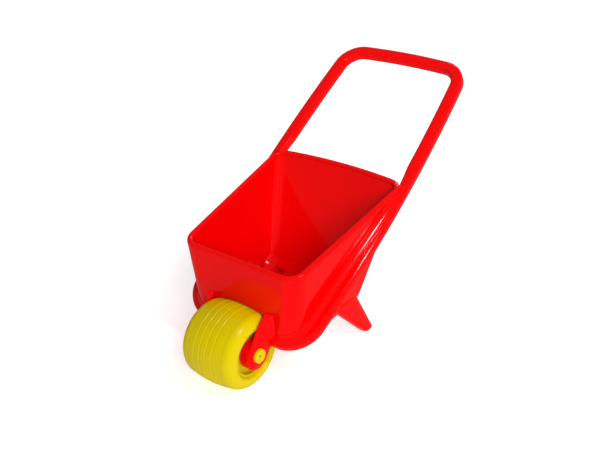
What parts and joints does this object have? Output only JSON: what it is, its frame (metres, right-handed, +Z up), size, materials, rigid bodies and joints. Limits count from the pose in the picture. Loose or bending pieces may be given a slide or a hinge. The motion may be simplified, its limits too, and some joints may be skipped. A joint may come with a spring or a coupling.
{
  "type": "toy wheelbarrow",
  "caption": "Child's plastic wheelbarrow: deep tub on a sloping loop handle, a wide rolling front wheel in a fork, and rear legs.",
  "frame": {"origin": "on the floor, under the middle of the whole object", "axes": "+Z up, +Y from the wheel towards the grip, +X to the side; the object is symmetric left to right"},
  "size_m": [0.284, 0.6059, 0.3969],
  "materials": {
    "red_plastic": "glossy moulded",
    "yellow_plastic": "semi-gloss moulded",
    "screw_steel": "zinc plated",
    "axle_steel": "bright drawn"
  },
  "bodies": {
    "chassis": {"barrow_body": "red_plastic", "leg_left": "red_plastic", "leg_right": "red_plastic", "leg_screws": "screw_steel", "axle_rod": "axle_steel", "axle_cap_left": "yellow_plastic", "axle_cap_right": "yellow_plastic"},
    "wheel": {"wheel_half_left": "yellow_plastic", "wheel_half_right": "yellow_plastic"}
  },
  "joints": [
    {"name": "wheel_spin", "type": "hinge", "parent": "chassis", "child": "wheel", "pos_m": [0, -0.2363, 0.0667], "axis": [1, 0, 0], "continuous": true}
  ]
}
